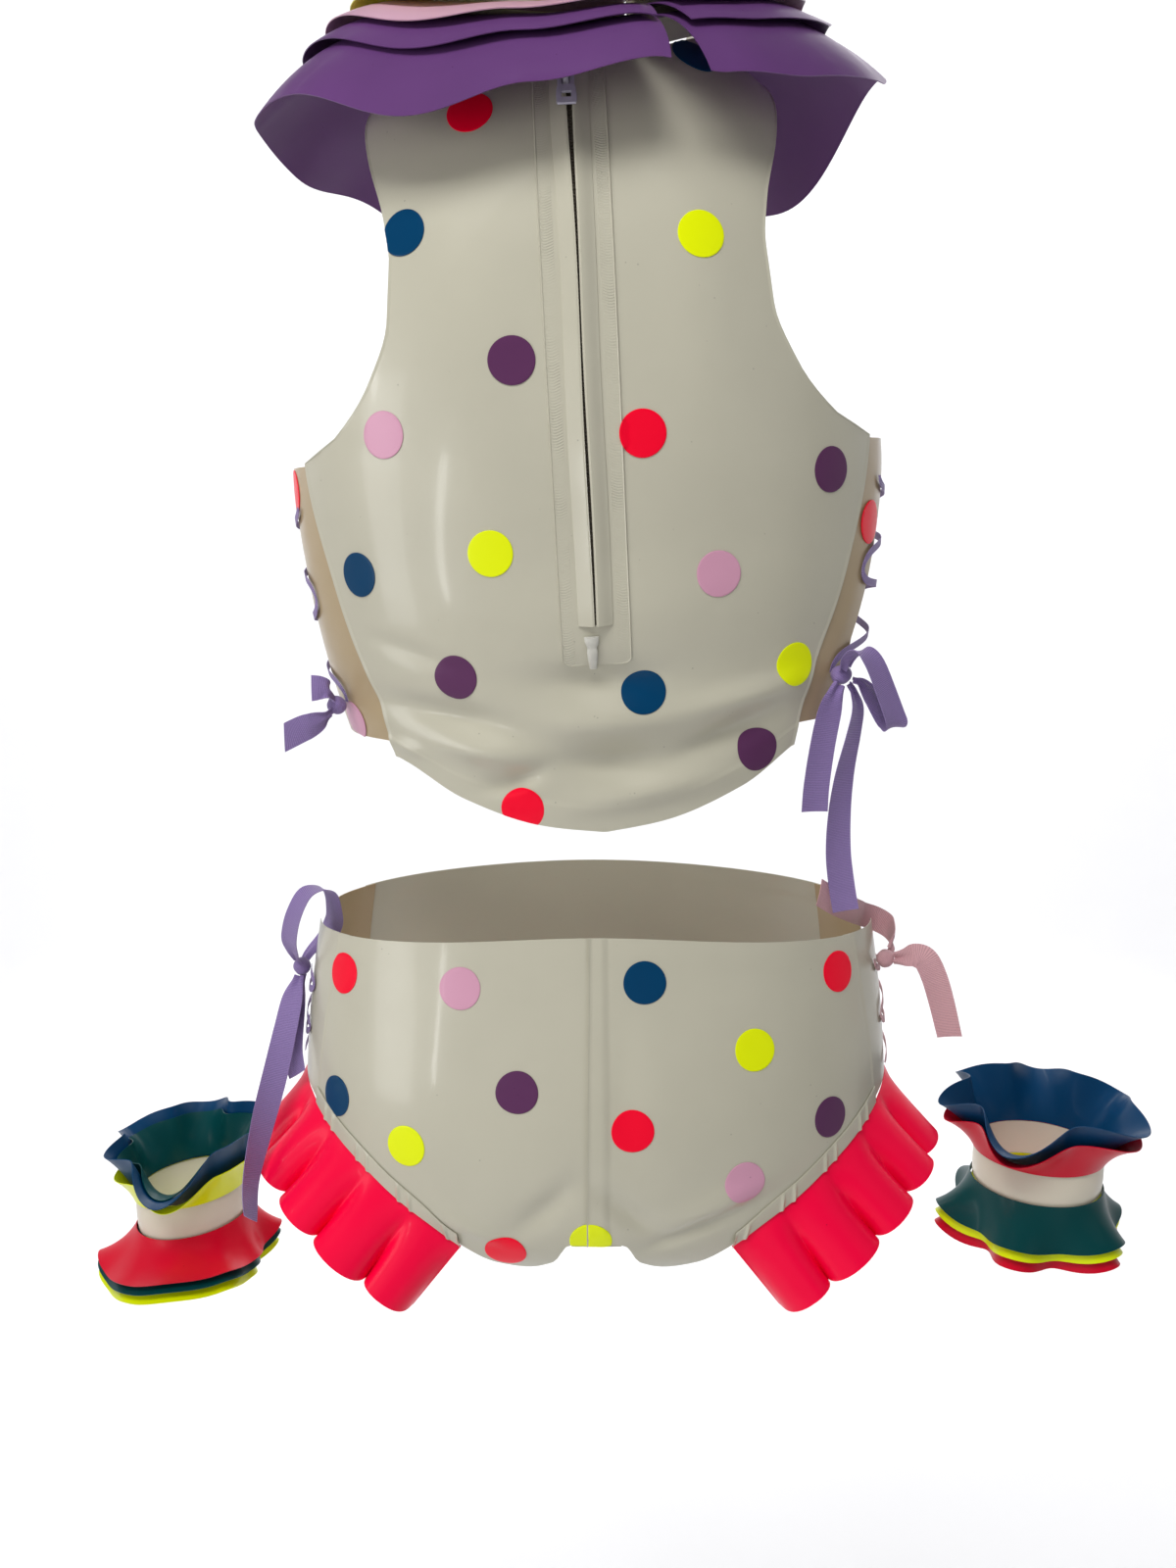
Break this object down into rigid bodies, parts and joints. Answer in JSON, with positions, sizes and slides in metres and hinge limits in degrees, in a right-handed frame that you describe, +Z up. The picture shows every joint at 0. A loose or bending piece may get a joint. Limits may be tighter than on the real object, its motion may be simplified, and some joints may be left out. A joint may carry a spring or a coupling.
{
  "type": "clown costume",
  "caption": "Two-piece sleeveless latex clown costume: zipped crop top with a layered ruff, side-laced briefs with leg frills, and two frilled wrist cuffs, worn form, open inside.",
  "frame": {"origin": "middle of the base of the wearer's neck, where the wearer holds the set up", "axes": "+Z up along the wearer, +Y to the wearer's front, so the laced and zipped back faces -Y, +X to the wearer's right"},
  "size_m": [0.6366, 0.2431, 0.732],
  "materials": {
    "latex_cream": "glossy thin latex sheet, slightly translucent",
    "latex_tan": "smooth latex sheet, satin",
    "latex_purple": "thin matt latex sheet, slightly translucent",
    "latex_pink": "smooth latex sheet, satin",
    "latex_yellow": "glossy latex sheet",
    "latex_red": "glossy latex sheet",
    "latex_frill_red": "bright fluorescent red latex, glossy",
    "latex_blue": "glossy dark blue latex sheet",
    "latex_green": "glossy dark teal-green latex sheet",
    "ribbon_purple": "ribbed grosgrain ribbon, matt",
    "ribbon_pink": "ribbed grosgrain ribbon, matt",
    "zip_plastic": "moulded zip plastic, satin",
    "pull_plastic": "pale lilac-grey moulded plastic, satin"
  },
  "bodies": {
    "garment": {"briefs_back_left": "latex_cream", "briefs_back_right": "latex_cream", "briefs_front": "latex_cream", "briefs_gusset": "latex_cream", "briefs_left_bow": "ribbon_purple", "briefs_left_knot": "ribbon_purple", "briefs_left_lacing": "ribbon_purple", "briefs_left_tail_long": "ribbon_purple", "briefs_left_tail_short": "ribbon_purple", "briefs_right_knot": "ribbon_pink", "briefs_right_lacing": "ribbon_pink", "briefs_right_tail_down": "ribbon_pink", "briefs_right_tail_up": "ribbon_pink", "briefs_strip_back_left": "latex_tan", "briefs_strip_back_right": "latex_tan", "briefs_strip_front_left": "latex_tan", "briefs_strip_front_right": "latex_tan", "cuff_band_left": "latex_cream", "cuff_band_right": "latex_cream", "cuff_left_down_green": "latex_green", "cuff_left_down_red": "latex_red", "cuff_left_down_yellow": "latex_yellow", "cuff_left_up_blue": "latex_blue", "cuff_left_up_green": "latex_green", "cuff_left_up_yellow": "latex_yellow", "cuff_right_down_green": "latex_green", "cuff_right_down_red": "latex_red", "cuff_right_down_yellow": "latex_yellow", "cuff_right_up_blue": "latex_blue", "cuff_right_up_red": "latex_red", "frill_casing_left": "latex_cream", "frill_casing_right": "latex_cream", "frill_left": "latex_frill_red", "frill_right": "latex_frill_red", "ruff_band": "latex_cream", "ruff_layer_pink": "latex_pink", "ruff_layer_purple_long": "latex_purple", "ruff_layer_purple_short": "latex_purple", "ruff_layer_yellow": "latex_yellow", "top_back": "latex_cream", "top_front": "latex_cream", "top_left_knot": "ribbon_purple", "top_left_lacing": "ribbon_purple", "top_left_tail_down": "ribbon_purple", "top_left_tail_up": "ribbon_purple", "top_right_bow": "ribbon_purple", "top_right_knot": "ribbon_purple", "top_right_lacing": "ribbon_purple", "top_right_tail_long": "ribbon_purple", "top_right_tail_short": "ribbon_purple", "top_strip_back_left": "latex_tan", "top_strip_back_right": "latex_tan", "top_strip_front_left": "latex_tan", "top_strip_front_right": "latex_tan", "zip_end": "zip_plastic", "zip_flap_left": "latex_cream", "zip_flap_right": "latex_cream", "zip_slider": "zip_plastic", "zip_tape": "latex_cream"},
    "zip_pull": {"zip_pull": "pull_plastic"}
  },
  "joints": [
    {"name": "zip_pull_hinge", "type": "hinge", "parent": "garment", "child": "zip_pull", "pos_m": [-0.01041, -0.07507, -0.00896], "axis": [-0.9991, 0.0023, -0.0414], "range_deg": [0, 90]}
  ]
}
